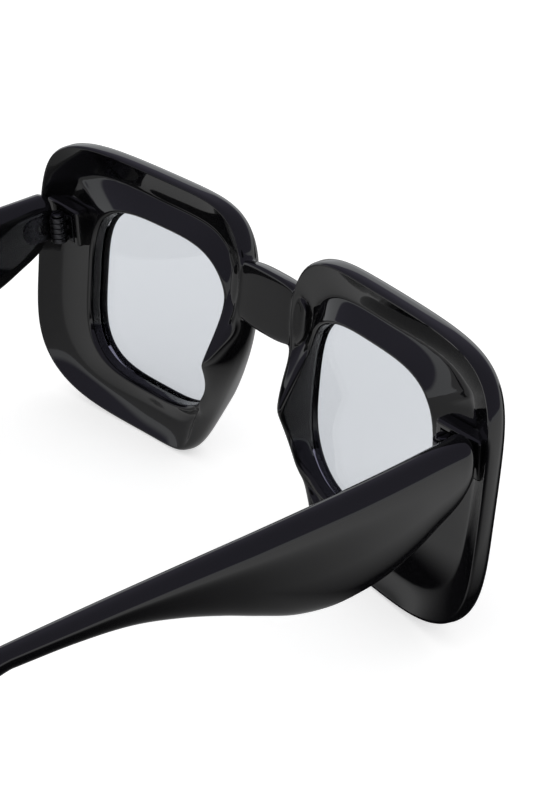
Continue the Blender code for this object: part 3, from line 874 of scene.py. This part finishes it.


# how brightly reflections find each place of the table, as painted shade: one spot unlit, one side dim and a
# painted contact shadow at the rim's foot
def paintedTableShade(nodes, links):
    place = nodes.new("ShaderNodeTexCoord")
    split = nodes.new("ShaderNodeSeparateXYZ")
    links.new(place.outputs["Object"], split.inputs["Vector"])
    away = nodes.new("ShaderNodeVectorMath")
    away.operation = "DISTANCE"
    away.inputs[1].default_value = studio["unlitSpot"]
    links.new(place.outputs["Object"], away.inputs[0])
    lit = fade(nodes, links, away.outputs["Value"], *studio["unlitReach"])
    dim = fade(nodes, links, split.outputs["X"], studio["dimFrom"], studio["dimTo"], 1, studio["dimShare"])
    foot = fade(nodes, links, split.outputs["Y"], studio["footFrom"], studio["footTo"])
    fromFoot = nodeMath(nodes, links, "SUBTRACT", split.outputs["X"], studio["footAside"])
    beside = nodeMath(nodes, links, "ABSOLUTE", fromFoot)
    fadeEnd = studio["footHalfWidth"] + studio["footFade"]
    aside = fade(nodes, links, beside, studio["footHalfWidth"], fadeEnd, kind="LINEAR")
    clear = nodeMath(nodes, links, "MAXIMUM", foot, aside)
    sided = nodeMath(nodes, links, "MULTIPLY", lit, dim)
    return nodeMath(nodes, links, "MULTIPLY", sided, clear)


def paleTable():
    made, nodes, links, shader = newMaterial("paleTable", Roughness=studio["tableRoughness"])
    shader.inputs["Emission Color"].default_value = (1, 1, 1, 1)
    rays = nodes.new("ShaderNodeLightPath")
    through = nodeMath(nodes, links, "SUBTRACT", 1, rays.outputs["Is Transmission Ray"])
    mirror = nodeMath(nodes, links, "MULTIPLY", rays.outputs["Is Glossy Ray"], through)
    direct = nodeMath(nodes, links, "SUBTRACT", 1, mirror)
    mirrored = paintedTableShade(nodes, links)
    # for reflections the table's colour is painted darker by this painted shade
    shade = nodes.new("ShaderNodeMix")
    shade.data_type = "RGBA"
    shade.inputs["A"].default_value = (0, 0, 0, 1)
    shade.inputs["B"].default_value = studio["tableColour"]
    links.new(nodeMath(nodes, links, "MAXIMUM", mirrored, direct), shade.inputs["Factor"])
    links.new(shade.outputs["Result"], shader.inputs["Base Color"])
    # the table also glows in reflections, a painted light shaped by the painted shade
    glossed = nodeMath(nodes, links, "MULTIPLY", mirrored, mirror)
    whitened = nodeMath(nodes, links, "MULTIPLY", glossed, studio["glossWhitening"])
    seen = seenStraight(nodes, links)
    whiten = nodeMath(nodes, links, "MULTIPLY_ADD", seen, studio["whitening"], whitened)
    links.new(whiten, shader.inputs["Emission Strength"])
    return made


def makeTable():
    bpy.ops.mesh.primitive_plane_add(size=studio["tableSize"], location=(0, 0, 0))
    table = bpy.context.object
    table.name = "table_top"
    table.data.materials.append(paleTable())


# reflections see a bright horizon below a dim ceiling, higher in one fixed direction;
# the camera sees plain white
def makeWorld():
    world = bpy.data.worlds.new("studioWorld")
    world.use_nodes = True
    bpy.context.scene.world = world
    nodes, links = world.node_tree.nodes, world.node_tree.links
    background = nodes["Background"]
    place = nodes.new("ShaderNodeTexCoord")
    split = nodes.new("ShaderNodeSeparateXYZ")
    links.new(place.outputs["Generated"], split.inputs["Vector"])
    ahead = nodes.new("ShaderNodeVectorMath")
    ahead.operation = "DOT_PRODUCT"
    ahead.inputs[1].default_value = studio["ahead"]
    links.new(place.outputs["Generated"], ahead.inputs[0])
    facing = nodeMath(nodes, links, "MAXIMUM", ahead.outputs["Value"], 0)
    height = nodeMath(nodes, links, "MULTIPLY_ADD", facing, -studio["aheadRise"], split.outputs["Z"])
    ramp = nodes.new("ShaderNodeValToRGB")
    ramp.color_ramp.elements[0].color = studio["horizonColour"]
    ramp.color_ramp.elements[0].position = studio["horizonRise"] / 2
    ramp.color_ramp.elements[1].color = studio["aboveColour"]
    ramp.color_ramp.elements[1].position = studio["horizonRise"]
    links.new(height, ramp.inputs["Fac"])
    rays = nodes.new("ShaderNodeLightPath")
    mirrored = nodes.new("ShaderNodeMix")
    mirrored.data_type = "RGBA"
    mirrored.inputs["A"].default_value = (studio["lightStrength"],) * 3 + (1,)
    links.new(rays.outputs["Is Glossy Ray"], mirrored.inputs["Factor"])
    links.new(ramp.outputs["Color"], mirrored.inputs["B"])
    white = nodes.new("ShaderNodeMix")
    white.data_type = "RGBA"
    white.inputs["B"].default_value = (1, 1, 1, 1)
    links.new(seenStraight(nodes, links), white.inputs["Factor"])
    links.new(mirrored.outputs["Result"], white.inputs["A"])
    links.new(white.outputs["Result"], background.inputs["Color"])


makeTable()
makeWorld()
bpy.context.scene.view_settings.view_transform = "Standard"
print("studio lit")
